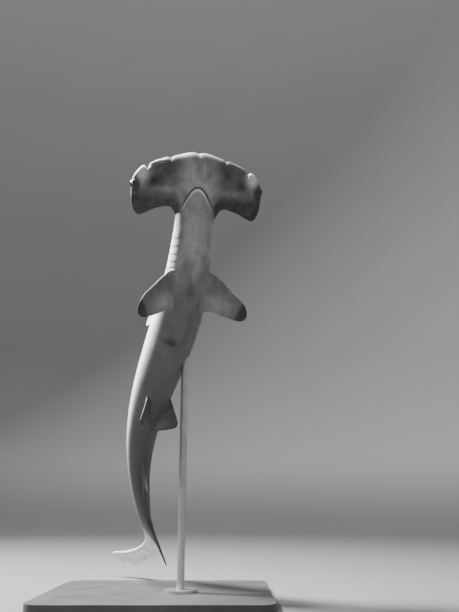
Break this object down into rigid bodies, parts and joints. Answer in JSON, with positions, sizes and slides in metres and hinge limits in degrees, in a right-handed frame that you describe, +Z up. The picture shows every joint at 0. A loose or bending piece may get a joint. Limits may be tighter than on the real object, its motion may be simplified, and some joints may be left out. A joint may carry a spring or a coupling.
{
  "type": "hammerhead shark",
  "caption": "Life-size scalloped hammerhead shark, still, rising belly forward with its tail swept aside, on a flat base and a rod.",
  "frame": {"origin": "middle of the underside of the stand's base", "axes": "+Z up from the base to the shark's head, -Y the side that the belly faces, +X to the viewer's right and the shark's left"},
  "size_m": [0.92, 1.3291, 1.843],
  "materials": {
    "skin": "matte, wet-looking skin, dark grey above and pale below",
    "eye": "gloss",
    "stand_plinth": "satin",
    "stand_steel": "brushed"
  },
  "bodies": {
    "root": {"head": "skin", "lower_jaw": "skin", "neck": "skin", "torso_chest": "skin", "torso_belly": "skin", "torso_loin": "skin", "tail_stem": "skin", "caudal_upper_lobe": "skin", "caudal_lower_lobe": "skin", "first_dorsal_fin": "skin", "second_dorsal_fin": "skin", "anal_fin": "skin", "pectoral_fin_left": "skin", "pectoral_fin_right": "skin", "pelvic_fin_left": "skin", "pelvic_fin_right": "skin", "eye_left": "eye", "eye_right": "eye", "stand_base": "stand_plinth", "stand_foot": "stand_steel", "stand_rod": "stand_steel"}
  },
  "joints": []
}
